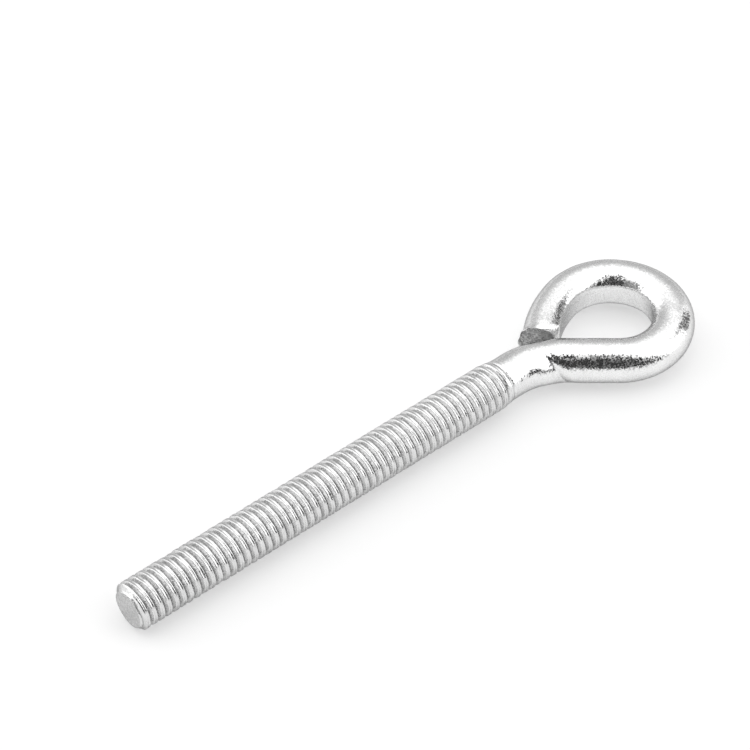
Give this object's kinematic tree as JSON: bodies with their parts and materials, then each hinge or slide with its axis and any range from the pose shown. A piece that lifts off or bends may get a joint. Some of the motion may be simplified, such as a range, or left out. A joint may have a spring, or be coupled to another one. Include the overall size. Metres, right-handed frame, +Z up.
{
  "type": "eye bolt",
  "caption": "Bent-rod eye bolt: a long threaded shank ending in a closed round eye whose cut end rests beside the neck, for hanging or tying a line, hook or ring.",
  "frame": {"origin": "centre of the flat face at the threaded tip, on the thread's axis", "axes": "+X along the shank from the tip towards the eye, +Z up with the bolt lying flat, so that the eye's opening runs along Z; the neck bends towards -Y first"},
  "size_m": [0.0808, 0.0193, 0.0058],
  "materials": {
    "zinc_plated_steel": "bright zinc plating over rolled and bent steel rod, glossy with a fine grain"
  },
  "bodies": {
    "root": {"eye_bolt": "zinc_plated_steel"}
  },
  "joints": []
}
